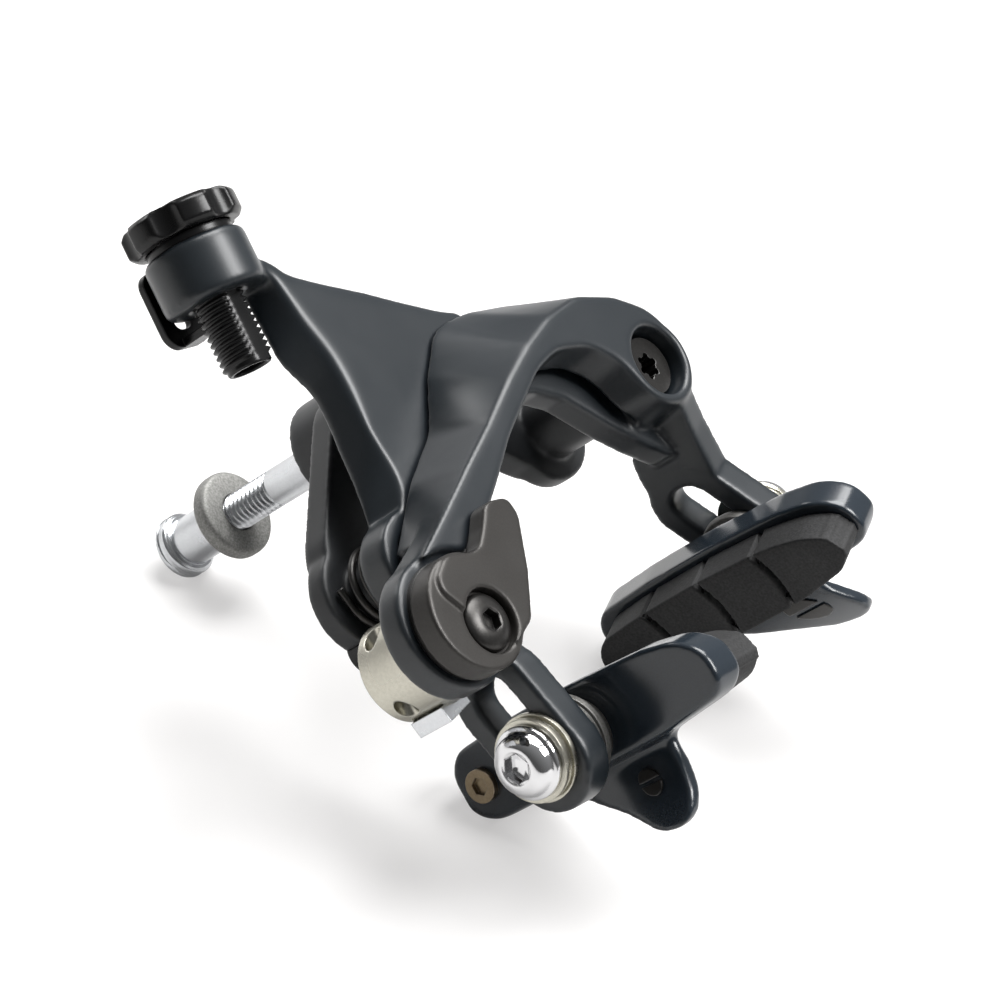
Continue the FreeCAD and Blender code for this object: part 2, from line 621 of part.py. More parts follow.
pieces = {
    "bracket": build_bracket(),
    "mounting_bolt": build_mounting_bolt(),
    "fork_washer": build_fork_washer(),
    "sunken_nut": build_sunken_nut(),
    "long_arm": build_long_arm(),
    "short_arm": build_short_arm(),
    "far_pivot_bolt": build_pivot_bolt(pivot_x, long_front + recess_depth),
    "near_pivot_bolt": build_pivot_bolt(-pivot_x, short_front),
    "far_pivot_bush": build_bush(pivot_x, long_front + recess_depth + head_t, long_rear),
    "near_pivot_bush": build_bush(-pivot_x, short_front + head_t, short_rear),
    "return_spring": build_return_spring(),
    "spring_cap": build_spring_cap(),
    "roller": build_roller(),
    "roller_pin": build_roller_pin(),
    "adjuster_knob": build_knob(),
    "adjuster_collar": build_collar(),
    "adjuster_rod": build_adjuster_rod(),
    "adjuster_clip": build_adjuster_clip(),
    "cable_anchor": build_cable_anchor(),
    "clamp_plate": build_clamp_plate(),
    "qr_washer": build_qr_washer(),
    "qr_lever": build_qr_lever(),
    "qr_bolt": build_qr_bolt(),
}
for side, word in ((-1, "near"), (1, "far")):
    pieces[word + "_pad_bolt"] = at_leg(build_pad_bolt(), side)
    pieces[word + "_outer_washers"] = at_leg(build_outer_washers(), side)
    pieces[word + "_inner_washers"] = at_leg(build_inner_washers(), side)
    pieces[word + "_pad_holder"] = at_leg(build_holder(), side)
    pieces[word + "_pad_rubber"] = at_leg(build_rubber(), side)
    pieces[word + "_wheel_guide"] = at_leg(build_guide(), side)
    pieces[word + "_guide_screw"] = at_leg(build_guide_screw(), side)
    pieces[word + "_rubber_screw"] = at_leg(build_rubber_screw(), side)

for node, shape in pieces.items():
    shape.exportStep("parts/" + node + ".step")
    print(node, "valid", shape.isValid(), "solids", len(shape.Solids), "volume", round(shape.Volume, 1))
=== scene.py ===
import json
import math

import bpy
from mathutils import Matrix, Vector

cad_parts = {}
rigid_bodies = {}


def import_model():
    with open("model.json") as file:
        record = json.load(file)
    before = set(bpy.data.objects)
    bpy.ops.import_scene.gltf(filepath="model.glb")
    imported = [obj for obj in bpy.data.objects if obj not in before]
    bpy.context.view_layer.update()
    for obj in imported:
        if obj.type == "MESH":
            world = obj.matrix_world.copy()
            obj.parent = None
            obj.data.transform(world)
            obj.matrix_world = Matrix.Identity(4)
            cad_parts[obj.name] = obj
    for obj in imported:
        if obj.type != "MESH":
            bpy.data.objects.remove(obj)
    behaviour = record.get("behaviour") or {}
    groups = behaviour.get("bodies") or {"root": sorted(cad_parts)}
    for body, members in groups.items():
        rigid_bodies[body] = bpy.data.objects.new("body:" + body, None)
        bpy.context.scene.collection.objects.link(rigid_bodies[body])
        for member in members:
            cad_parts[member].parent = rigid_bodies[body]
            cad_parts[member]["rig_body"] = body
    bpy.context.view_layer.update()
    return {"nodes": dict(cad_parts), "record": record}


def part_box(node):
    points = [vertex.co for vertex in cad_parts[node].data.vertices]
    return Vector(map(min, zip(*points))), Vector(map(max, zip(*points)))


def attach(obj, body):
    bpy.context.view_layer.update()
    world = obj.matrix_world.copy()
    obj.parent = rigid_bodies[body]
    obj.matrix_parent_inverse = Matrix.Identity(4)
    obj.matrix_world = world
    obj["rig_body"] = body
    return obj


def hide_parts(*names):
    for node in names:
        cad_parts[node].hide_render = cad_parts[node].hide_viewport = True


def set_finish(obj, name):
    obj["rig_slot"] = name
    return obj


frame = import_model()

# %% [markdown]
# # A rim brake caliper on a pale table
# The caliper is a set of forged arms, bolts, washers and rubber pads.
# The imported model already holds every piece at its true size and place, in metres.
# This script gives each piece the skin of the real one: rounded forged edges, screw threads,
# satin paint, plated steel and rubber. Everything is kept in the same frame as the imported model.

mm = 0.001

# %% [markdown]
# ## Camera
# The photograph was taken from the adjuster's side, a little above the bolt, with the camera rolled,
# because the caliper lies on its pads and its nut. A long lens from 60 cm away keeps the perspective mild.
# Three unit vectors say where the picture's right, up and depth point in the model, and the camera's
# matrix is filled with them, which is safer than turning it by hand until it looks right.

# %% Camera
picture_right = Vector((0.46069654, -0.67088861, -0.58109136))
picture_up = Vector((0.43683174, -0.39853158, 0.80644318))
looking = Vector((0.7726168, 0.62536474, -0.10946333))
# Where the model's origin stands as the camera sees it, in mm, and the lens in the picture's own pixels.
origin_right, origin_up, origin_depth = -25.6126304, 7.08615413, 601.94742039
lens_px, picture_px = 3970.159, 1000
eye = -(picture_right * origin_right + picture_up * origin_up + looking * origin_depth) * mm
camera = bpy.data.objects.new("camera", bpy.data.cameras.new("camera"))
bpy.context.scene.collection.objects.link(camera)
turned = Matrix((picture_right, picture_up, -looking)).transposed().to_4x4()
camera.matrix_world = Matrix.Translation(eye) @ turned
camera.data.sensor_width = 36.0
camera.data.lens = lens_px / picture_px * camera.data.sensor_width
camera.data.clip_start = 0.01
bpy.context.scene.camera = camera
print("camera stands at", [round(c, 4) for c in eye], "and its lens is", round(camera.data.lens, 1), "mm")

# %% [markdown]
# ## Floor
# The caliper lies on its back on three points: the rim of the nut and the rear ends of both pad holders.
# The floor is the plane through them. We find it by trying a direction, taking the lowest point of each
# of the three pieces along it, and using the plane through those points as the next try.

# %% The plane the caliper rests on
# Each piece that touches the floor, and which part of it is tried: 0 all of it, 1 its rear half.
resting_on = (("sunken_nut", 0), ("near_pad_holder", 1), ("far_pad_holder", 1))


def lowest_point(node, half, down):
    """The point of a node, or of its rear half, that lies furthest along down."""
    points = [v.co for v in frame["nodes"][node].data.vertices]
    middle = sum((p.y for p in points)) / len(points)
    kept = [p for p in points if (p.y - middle) * half >= 0]
    return max(kept, key=lambda p: p.dot(down)).copy()


down = 0.6 * looking - picture_up
for attempt in range(12):
    contacts = [lowest_point(node, half, down) for node, half in resting_on]
    normal = (contacts[1] - contacts[0]).cross(contacts[2] - contacts[0]).normalized()
    down = normal if normal.dot(down) > 0 else -normal
floor_up = -down
floor_point = contacts[0]
print("floor touches at mm", [tuple(round(c / mm, 1) for c in p) for p in contacts])
print("camera looks down on it at degrees", round(math.degrees(math.asin(-looking.dot(floor_up))), 1))

# %% [markdown]
# Materials are built from nodes in code. Four short helpers keep that readable: one makes an empty material,
# one places a node with its settings, one mixes two shaders, and one says how much of the studio's white
# a ray sees. The camera sees all of it and mirroring metal a part, but it lights nothing,
# so the white never bleaches the caliper.

# %% Material helpers


def new_material(name):
    """An empty node material with its output node."""
    material = bpy.data.materials.new(name)
    material.use_nodes = True
    material.node_tree.nodes.clear()
    output = material.node_tree.nodes.new("ShaderNodeOutputMaterial")
    return material, material.node_tree.nodes, material.node_tree.links, output


def placed(nodes, kind, sockets=None, **settings):
    """A shader node of this kind with its settings and with values in its sockets."""
    node = nodes.new("ShaderNode" + kind)
    for name, value in settings.items():
        setattr(node, name, value)
    for socket, value in (sockets or {}).items():
        node.inputs[socket].default_value = value
    return node


def mixed(nodes, links, share, first, second):
    """The output of a Mix Shader between two shaders."""
    mix = nodes.new("ShaderNodeMixShader")
    for source, socket in zip((share, first, second), mix.inputs):
        links.new(source, socket)
    return mix.outputs[0]


def white_share(nodes, links, in_metal):
    """1 for rays from the camera, in_metal for rays that a gloss has thrown, and 0 for all others."""
    path = placed(nodes, "LightPath")
    share = placed(nodes, "Math", {1: in_metal}, operation="MULTIPLY_ADD", use_clamp=True)
    links.new(path.outputs["Is Glossy Ray"], share.inputs[0])
    links.new(path.outputs["Is Camera Ray"], share.inputs[2])
    return share.outputs[0]


# %% [markdown]
# The floor is a plain sheet. Its shader is matt and pale grey. Seen by the camera it also glows,
# so it reaches the white of the photograph while the soft shadow under the caliper stays.
# From below it is see-through, so that a view from underneath still shows the caliper.

# %% Floor sheet
sheet_width = 6.0
sheet_colour, glow_colour, glow_strength = (0.50, 0.495, 0.49, 1), (1.0, 0.985, 0.98, 1), 0.48
bpy.ops.object.select_all(action="DESELECT")
bpy.ops.mesh.primitive_plane_add(size=sheet_width)
floor = bpy.context.active_object
floor.name = "floor"
floor.matrix_world = Matrix.Translation(floor_point) @ floor_up.to_track_quat("Z", "Y").to_matrix().to_4x4()
floor_finish, nodes, links, output = new_material("floor_paper")
matt = placed(nodes, "BsdfDiffuse", {"Color": sheet_colour}).outputs[0]
glow = placed(nodes, "Emission", {"Color": glow_colour, "Strength": glow_strength}).outputs[0]
both = nodes.new("ShaderNodeAddShader")
links.new(matt, both.inputs[0])
links.new(glow, both.inputs[1])
from_above = mixed(nodes, links, white_share(nodes, links, in_metal=0.25), matt, both.outputs[0])
from_below = placed(nodes, "BsdfTransparent").outputs[0]
is_below = placed(nodes, "NewGeometry").outputs["Backfacing"]
links.new(mixed(nodes, links, is_below, from_above, from_below), output.inputs["Surface"])
floor.data.materials.append(floor_finish)
print("the floor sheet is", sheet_width, "m wide and glows at", glow_strength)

# %% [markdown]
# ## Light
# The picture has the even light of a white table under large soft boxes: a broad lamp overhead and behind,
# a second one up to the right, and a weak one behind that draws bright lines along the edges.
# The lamps are square area lamps, because their size decides how soft the shadows are. A sun lamp
# would draw hard shadows that a studio never has.

# %% Lamps


def soft_box(name, direction, distance, size, power):
    """A square lamp that stands in a direction from the caliper and faces it."""
    lamp = bpy.data.objects.new(name, bpy.data.lights.new(name, "AREA"))
    lamp.data.shape = "SQUARE"
    lamp.data.size = size
    lamp.data.energy = power
    bpy.context.scene.collection.objects.link(lamp)
    away = direction.normalized()
    aimed = away.to_track_quat("Z", "Y").to_matrix().to_4x4()
    lamp.matrix_world = Matrix.Translation(away * distance) @ aimed
    print(name, "is", size, "m wide and gives", power, "W")


toward_eye = -looking
soft_box("overhead_box", floor_up - 0.40 * toward_eye + 0.05 * picture_right, 1.3, 0.9, 25.0)
soft_box("side_box", 0.05 * toward_eye + 1.3 * floor_up + 1.3 * picture_right, 1.4, 0.6, 18.0)
soft_box("rear_box", -0.8 * toward_eye + 0.9 * floor_up - 0.8 * picture_right, 1.2, 0.5, 3.0)

# %% [markdown]
# The world is the room round the table. It is brighter above and behind than on the camera's side, where a
# real room is dark, so faces that look at the camera stay deep. A Map Range node turns the angle between a
# ray and the bright side into that light. To the camera the world looks pale, and metal shows a part of that.

# %% World
world = bpy.data.worlds.new("studio")
bpy.context.scene.world = world
world.use_nodes = True
nodes, links = world.node_tree.nodes, world.node_tree.links
nodes.clear()
bright_side = (floor_up - 0.70 * toward_eye + 0.25 * picture_right).normalized()
dimmest, brightest = 0.01, 0.26
direction = placed(nodes, "TexCoord")
facing = placed(nodes, "VectorMath", {1: bright_side}, operation="DOT_PRODUCT")
level = placed(nodes, "MapRange",
               {"From Min": -0.5, "From Max": 0.9, "To Min": dimmest, "To Max": brightest})
room = placed(nodes, "Background", {"Color": (0.97, 0.985, 1.0, 1)})
paper = placed(nodes, "Background", {"Strength": 1.0})
links.new(direction.outputs["Generated"], facing.inputs[0])
links.new(facing.outputs["Value"], level.inputs["Value"])
links.new(level.outputs[0], room.inputs["Strength"])
shown = mixed(nodes, links, white_share(nodes, links, in_metal=0.10), room.outputs[0], paper.outputs[0])
links.new(shown, nodes.new("ShaderNodeOutputWorld").inputs["Surface"])
bpy.context.scene.view_settings.view_transform = "Standard"
print("the room's light goes from", dimmest, "to", brightest)

# %% [markdown]
# ## Surface effects that several finishes share
# Cast paint, plating and moulded plastic are never perfectly even. One node group called `fine_grain`
# gives small dots of two sizes: it varies the colour and the roughness a little and puts out a height
# for a Bump node. A second group compares the surface with a rounded copy of itself, so that edges and
# corners get a painted highlight, a paler colour, and hands the rounded normal on.

# %% The fine_grain group
FLOAT, COLOUR, VECTOR = "NodeSocketFloat", "NodeSocketColor", "NodeSocketVector"


def new_group(name, inputs, outputs):
    """A shader node group with named float or colour sockets."""
    group = bpy.data.node_groups.new(name, "ShaderNodeTree")
    for socket, kind, value in inputs:
        made = group.interface.new_socket(socket, in_out="INPUT", socket_type=kind)
        made.default_value = value
    for socket, kind in outputs:
        group.interface.new_socket(socket, in_out="OUTPUT", socket_type=kind)
    return group, group.nodes.new("NodeGroupInput"), group.nodes.new("NodeGroupOutput")


grain_group, given, wanted = new_group(
    "fine_grain",
    [("Colour", COLOUR, (0.5, 0.5, 0.5, 1)), ("Colour change", FLOAT, 0.1), ("Dots per mm", FLOAT, 3.0),
     ("Roughness", FLOAT, 0.4), ("Roughness change", FLOAT, 0.1)],
    [("Colour", COLOUR), ("Roughness", FLOAT), ("Height", FLOAT)])
nodes, link = grain_group.nodes, grain_group.links.new
around_zero = {"From Min": 0.3, "From Max": 0.7, "To Min": -1.0, "To Max": 1.0}
place = placed(nodes, "TexCoord")
dots_per_metre = placed(nodes, "Math", {1: 1 / mm}, operation="MULTIPLY")
small = placed(nodes, "TexNoise", {"Detail": 3.0})
broad = placed(nodes, "TexNoise", {"Scale": 90.0, "Detail": 2.0})
small_spread = placed(nodes, "MapRange", around_zero)
broad_spread = placed(nodes, "MapRange", around_zero)
lighter = placed(nodes, "Math", {2: 1.0}, operation="MULTIPLY_ADD")
tinted = placed(nodes, "VectorMath", operation="SCALE")
rougher = placed(nodes, "Math", operation="MULTIPLY_ADD")
link(place.outputs["Object"], small.inputs["Vector"])
link(place.outputs["Object"], broad.inputs["Vector"])
link(given.outputs["Dots per mm"], dots_per_metre.inputs[0])
link(dots_per_metre.outputs[0], small.inputs["Scale"])
link(small.outputs["Fac"], small_spread.inputs["Value"])
link(broad.outputs["Fac"], broad_spread.inputs["Value"])
link(small_spread.outputs[0], lighter.inputs[0])
link(given.outputs["Colour change"], lighter.inputs[1])
link(given.outputs["Colour"], tinted.inputs[0])
link(lighter.outputs[0], tinted.inputs["Scale"])
link(broad_spread.outputs[0], rougher.inputs[0])
link(given.outputs["Roughness change"], rougher.inputs[1])
link(given.outputs["Roughness"], rougher.inputs[2])
link(tinted.outputs[0], wanted.inputs["Colour"])
link(rougher.outputs[0], wanted.inputs["Roughness"])
link(small.outputs["Fac"], wanted.inputs["Height"])
print("fine_grain has", len(nodes), "nodes")

# %% The edge group, for the painted highlight on edges and corners
edge_group, given, wanted = new_group(
    "painted_edge_highlight", [("Radius", FLOAT, 0.0004)], [("Edge", FLOAT), ("Normal", VECTOR)])
nodes, link = edge_group.nodes, edge_group.links.new
rounded = placed(nodes, "Bevel", samples=6)
plain = placed(nodes, "NewGeometry")
likeness = placed(nodes, "VectorMath", operation="DOT_PRODUCT")
# Edge is 1 where the rounded normal turns away from the plain one: the mask of the painted highlight on edges
# and corners.
edge = placed(nodes, "MapRange", {"From Min": 0.995, "From Max": 0.80})
link(given.outputs["Radius"], rounded.inputs["Radius"])
link(rounded.outputs[0], likeness.inputs[0])
link(plain.outputs["Normal"], likeness.inputs[1])
link(likeness.outputs["Value"], edge.inputs["Value"])
link(edge.outputs[0], wanted.inputs["Edge"])
link(rounded.outputs[0], wanted.inputs["Normal"])
print("painted_edge_highlight has", len(nodes), "nodes")

# %% [markdown]
# ## Finishes
# Each finish is a Principled shader fed by the two groups. Paint and plastic are not metallic and have a
# clear coat or a gloss, plated steel is metallic and mostly smooth, and sintered steel and rubber are rough.
# One table holds the numbers, so that finishes can be compared side by side.

# %% Table of finishes
finishes = {
    # name: colour, metallic, roughness, roughness change, colour change, dots per mm, bump,
    #       edge radius in mm, how much paler the painted highlight makes the edges
    "arm_paint": ((0.0115, 0.0155, 0.0195), 0.0, 0.36, 0.03, 0.10, 5.0, 0.05, 0.5, 0.06),
    "bracket_paint": ((0.018, 0.0195, 0.0215), 0.0, 0.42, 0.03, 0.10, 5.0, 0.06, 0.5, 0.05),
    "steel": ((0.70, 0.715, 0.735), 1.0, 0.27, 0.05, 0.04, 2.5, 0.03, 0.25, 0.0),
    "sintered": ((0.29, 0.288, 0.275), 0.75, 0.62, 0.06, 0.28, 3.2, 0.35, 0.5, 0.12),
    "chrome": ((0.78, 0.78, 0.79), 1.0, 0.07, 0.02, 0.01, 2.0, 0.01, 0.35, 0.0),
    "nickel": ((0.56, 0.54, 0.465), 1.0, 0.26, 0.07, 0.06, 2.0, 0.06, 0.3, 0.1),
    "dark_steel": ((0.05, 0.048, 0.046), 0.8, 0.34, 0.06, 0.12, 3.0, 0.05, 0.25, 0.25),
    "worn_steel": ((0.20, 0.195, 0.185), 0.7, 0.46, 0.10, 0.22, 2.2, 0.12, 0.4, 0.22),
    "bronze": ((0.30, 0.235, 0.155), 1.0, 0.34, 0.06, 0.10, 2.5, 0.05, 0.25, 0.2),
    "bush": ((0.55, 0.40, 0.18), 1.0, 0.35, 0.05, 0.05, 2.0, 0.03, 0.2, 0.0),
    "black_plastic": ((0.004, 0.004, 0.0042), 0.0, 0.27, 0.05, 0.10, 3.0, 0.04, 0.4, 0.04),
    "lever_metal": ((0.048, 0.045, 0.042), 0.5, 0.36, 0.04, 0.08, 4.0, 0.05, 0.5, 0.10),
    "pad_rubber": ((0.013, 0.013, 0.0135), 0.0, 0.72, 0.06, 0.65, 2.6, 0.55, 0.5, 0.05),
    "holder_paint": ((0.0165, 0.0235, 0.032), 0.0, 0.2, 0.03, 0.08, 4.0, 0.03, 0.5, 0.04),
}
gloss = {
    "arm_paint": {"Coat Weight": 0.25, "Coat Roughness": 0.34},
    "holder_paint": {"Coat Weight": 0.25, "Coat Roughness": 0.12},
    "black_plastic": {"Specular IOR Level": 0.35},
}
# The first number is the grey toward which the painted highlight pulls the colour of edges and corners.
highlight_grey, grain_depth = 0.5, 0.1 * mm
print(len(finishes), "finishes in the table")

# %% Materials
materials = {}
for name, (colour, metal, rough, rough_by, colour_by, dots, bump, edge_mm, highlight_share) in finishes.items():
    material, nodes, links, output = new_material(name)
    shader = placed(nodes, "BsdfPrincipled", {"Metallic": metal, **gloss.get(name, {})})
    grain = placed(nodes, "Group", {
        "Colour": (*colour, 1), "Colour change": colour_by, "Dots per mm": dots,
        "Roughness": rough, "Roughness change": rough_by}, node_tree=grain_group)
    edges = placed(nodes, "Group", {"Radius": edge_mm * mm}, node_tree=edge_group)
    # Painted highlight: the colour of edges and corners is pulled toward a pale grey by the table's last
    # number.
    highlight_colour = (*(c + highlight_share * (highlight_grey - c) for c in colour), 1)
    lift = placed(nodes, "Mix", {"B": highlight_colour}, data_type="RGBA")
    relief = placed(nodes, "Bump", {"Strength": bump, "Distance": grain_depth})
    links.new(edges.outputs["Edge"], lift.inputs["Factor"])
    links.new(grain.outputs["Colour"], lift.inputs["A"])
    links.new(lift.outputs["Result"], shader.inputs["Base Color"])
    links.new(grain.outputs["Roughness"], shader.inputs["Roughness"])
    links.new(grain.outputs["Height"], relief.inputs["Height"])
    links.new(edges.outputs["Normal"], relief.inputs["Normal"])
    links.new(relief.outputs[0], shader.inputs["Normal"])
    links.new(shader.outputs[0], output.inputs["Surface"])
    materials[name] = material
print("materials", list(materials))

# %% [markdown]
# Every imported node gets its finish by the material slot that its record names. Two kinds differ from their
# slot: holders and guides are glossier than the arms, and the inner washers are duller than the outer ones.

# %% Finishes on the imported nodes
slot_of = {row["node"]: row["material_slot"] for row in frame["record"]["subparts"]}
for node, piece in frame["nodes"].items():
    finish = slot_of[node]
    if node.endswith(("pad_holder", "wheel_guide")):
        finish = "holder_paint"
    elif node.endswith("inner_washers"):
        finish = "worn_steel"
    piece.data.materials.clear()
    piece.data.materials.append(materials[finish])
    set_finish(piece, slot_of[node])
print("finishes on", len(frame["nodes"]), "nodes")

# %% [markdown]
# ## Forged edges
# Arms, bracket and pad holders are forged or cast, so their edges run over in a soft round.
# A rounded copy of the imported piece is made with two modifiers. Remesh turns it into one even skin of
# small squares, and Smooth then melts every edge by about the same radius, also where walls meet in a corner.
# A Bevel modifier would need clean edge loops, which a CAD mesh of thin triangles doesn't have.

# %% Selecting, joining and applying


def made_active(piece):
    """Select one object alone and make it the active one."""
    bpy.ops.object.select_all(action="DESELECT")
    piece.select_set(True)
    bpy.context.view_layer.objects.active = piece


def opened(piece):
    """Take one object into edit mode with all of its mesh selected."""
    made_active(piece)
    bpy.ops.object.mode_set(mode="EDIT")
    bpy.ops.mesh.select_all(action="SELECT")


def closed():
    """Leave edit mode."""
    bpy.ops.object.mode_set(mode="OBJECT")


def apply_all(piece):
    """Apply every modifier, in order."""
    made_active(piece)
    for name in [modifier.name for modifier in piece.modifiers]:
        bpy.ops.object.modifier_apply(modifier=name)


def joined(pieces):
    """Several pieces made one object, named after the first."""
    bpy.ops.object.select_all(action="DESELECT")
    for piece in pieces:
        piece.select_set(True)
    bpy.context.view_layer.objects.active = pieces[0]
    if len(pieces) > 1:
        bpy.ops.object.join()
    return pieces[0]


def facing_out(piece):
    """Point all faces outward, which a mirrored mesh needs."""
    opened(piece)
    bpy.ops.mesh.normals_make_consistent(inside=False)
    closed()


def copied(piece, name):
    """A second piece like the first, with its own mesh, on the same body."""
    twin = bpy.data.objects.new(name, piece.data.copy())
    bpy.context.scene.collection.objects.link(twin)
    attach(twin, piece["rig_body"])
    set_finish(twin, piece["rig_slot"])
    return twin


# %% Melting edges


def even_skin(piece, voxel_mm, passes):
    """Turn a closed mesh into small squares and melt its edges."""
    remesh = piece.modifiers.new("even_skin", "REMESH")
    remesh.mode = "VOXEL"
    remesh.voxel_size = voxel_mm * mm
    smooth = piece.modifiers.new("melt", "SMOOTH")
    smooth.factor = 0.5
    smooth.iterations = passes
    apply_all(piece)
    bpy.ops.object.shade_smooth()


def softened(piece, share_at, passes):
    """Melt a piece further, but only where share_at(point in mm) is above 0."""
    group = piece.vertex_groups.new(name="soft")
    for vertex in piece.data.vertices:
        share = max(0.0, min(1.0, share_at(vertex.co / mm)))
        if share > 0:
            group.add([vertex.index], share, "REPLACE")
    smooth = piece.modifiers.new("soft", "SMOOTH")
    smooth.factor = 0.5
    smooth.iterations = passes
    smooth.vertex_group = "soft"
    apply_all(piece)
    piece.vertex_groups.clear()


def melted(voxel_mm, passes, *nodes):
    """A copy of one or more nodes as one casting with its edges melted round, which stands for them."""
    copies = []
    for node in nodes:
        copies.append(bpy.data.objects.new(node + "_skin", frame["nodes"][node].data.copy()))
        bpy.context.scene.collection.objects.link(copies[-1])
    piece = joined(copies)
    opened(piece)
    bpy.ops.mesh.remove_doubles(threshold=0.002 * mm)
    closed()
    even_skin(piece, voxel_mm, passes)
    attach(piece, frame["nodes"][nodes[0]]["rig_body"])
    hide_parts(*nodes)
    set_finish(piece, slot_of[nodes[0]])
    print(piece.name, "has", len(piece.data.polygons), "faces")
    return piece


# %% [markdown]
# The long arm's skin has finer squares than the short arm's and the bracket's, because its long crease lies
# at a slant to them, and coarse squares leave steps along it. The arms are melted most: their broad faces run
# over into each other. Each call gives the width of the squares in mm and the number of smoothing passes.

# %% Arms, bracket, lever and knob
long_arm = melted(0.34, 26, "long_arm")
short_arm = melted(0.36, 26, "short_arm")
boss_centre, boss_axis = Vector((-22.9, -22, 41.3)), Vector((0.26892, 0, 0.963163))
boss_reach, boss_fade, blade_foot, blade_fade = 8.6, 3, 2, 8


def off_the_boss(point):
    """1 on the short arm's blade, falling to 0 at its pivot and at the adjuster's boss."""
    reach = point - boss_centre
    from_axis = (reach - reach.dot(boss_axis) * boss_axis).length
    return min((point.z - blade_foot) / blade_fade, (from_axis - boss_reach) / boss_fade)


softened(short_arm, off_the_boss, 70)
melted(0.40, 12, "bracket")
melted(0.22, 8, "qr_lever")
melted(0.20, 6, "adjuster_knob")

# %% [markdown]
# ## The pads' own directions
# The legs are splayed and the pads stand square to them, so their numbers would be hard to read in the model's
# own directions. Two matrices lead from the leg's and the pad's directions to the model, for both sides alike.

# %% Leg and pad matrices
splay = math.radians(12.5)
pivot_out, pivot_up = 28.2, -17.3
stud_back, stud_down = -30.406, -32.318


def leg_frame(side):
    """The matrix from a leg's upright frame, X outboard, to its place at rest."""
    mirror = Matrix.Diagonal((side, 1, 1, 1))
    pivot = Matrix.Translation(Vector((side * pivot_out, 0, pivot_up)) * mm)
    return pivot @ Matrix.Rotation(-side * splay, 4, "Y") @ mirror


def pad_frame(side):
    """The matrix from the pad's directions, X forward, Y outboard and Z up from the stud, to its place."""
    turned_leg = Matrix(((0, 1, 0, 0), (-1, 0, 0, stud_back * mm), (0, 0, 1, stud_down * mm), (0, 0, 0, 1)))
    return leg_frame(side) @ turned_leg


for side in (-1, 1):
    print("a pad's stud is at mm", [round(c / mm, 1) for c in pad_frame(side).translation])

# %% [markdown]
# ## Ways kept free
# Melting fills inner corners a little, where the washers slide up along a leg and the roller rolls through its
# pocket. Both ways are pressed free again, so that nothing cuts into the castings when a joint moves.

# %% Ways of the washers and the roller
slide, slide_low, slide_high = Vector((-0.267, 0, 0.9637)), -1.5, 10.5
# A leg's inner and outer face: where the washers lie on it, how far they reach, and what is proud of it.
slid_on = ((-3.17, 7.1, -6.0, -3.17), (2.37, 6.8, 2.37, 5.4))
roller_from, roller_to = Vector((0.8, -28.7, -2.6)), Vector((-6.793, -28.7, -3.929))
roller_r, roller_half = 2.15, 1.7


def clear_of_washers(arm, side):
    """Press the leg's two faces flat where the pad bolt's washers slide."""
    to_pad = pad_frame(side)
    arm.data.transform(to_pad.inverted())
    for vertex in arm.data.vertices:
        point = vertex.co / mm
        along = max(slide_low, min(slide_high, point.dot(slide)))
        aside = point - along * slide
        for face, reach, proud_from, proud_to in slid_on:
            if proud_from < point.y < proud_to and math.hypot(aside.x, aside.z) < reach:
                vertex.co.y = face * mm
    arm.data.transform(to_pad)


def clear_of_roller(arm):
    """Press the pocket's walls back from the way that the roller's middle takes through them."""
    way = roller_to - roller_from
    pressed = 0
    for vertex in arm.data.vertices:
        point = vertex.co / mm
        share = max(0.0, min(1.0, (point - roller_from).dot(way) / way.length_squared))
        aside = point - roller_from - share * way
        aside.y = 0
        if abs(point.y - roller_from.y) < roller_half and 0 < aside.length < roller_r:
            vertex.co += (roller_r / aside.length - 1) * aside * mm
            pressed += 1
    print(pressed, "points of the pocket pressed back from the roller")


clear_of_washers(short_arm, -1)
clear_of_washers(long_arm, 1)
clear_of_roller(long_arm)

# %% [markdown]
# ## Pad holders with their wheel guides
# Holder and guide are one casting: the guide's wing runs into the holder in a soft hollow, and its tip flares
# away from the wheel, so that a wheel pushed in finds its way. The two nodes are copied, joined and melted
# as one, and the wing's tip is then pushed outward, more the further down it is. The slotted screw in the wing
# is made twice, once for each of its faces, and is bent by the same flare, so that it stays in its hole.

# %% Holder and guide as one casting
wing_top, wing_length = -6.4, 10.5
flare = Vector((4.3, 5.2, -0.9))
seam_height, seam_reach = -6.2, 3
screw_forward, screw_out, screw_up = 4.9, -11.7, -10.2


def flared(piece, side):
    """Bend a pad piece's wing outward and forward, more the further down it reaches."""
    to_pad = pad_frame(side)
    piece.data.transform(to_pad.inverted())
    for vertex in piece.data.vertices:
        share = max(0.0, min(1.0, (wing_top - vertex.co.z / mm) / wing_length))
        vertex.co += Vector((flare.x * share, flare.y * share ** 1.5, flare.z * share)) * mm
    piece.data.transform(to_pad)


def near_the_seam(point):
    """1 where the wing leaves the holder, falling to 0 above and below. The point is in pad directions."""
    return 1.3 - abs(point.z - seam_height) / seam_reach


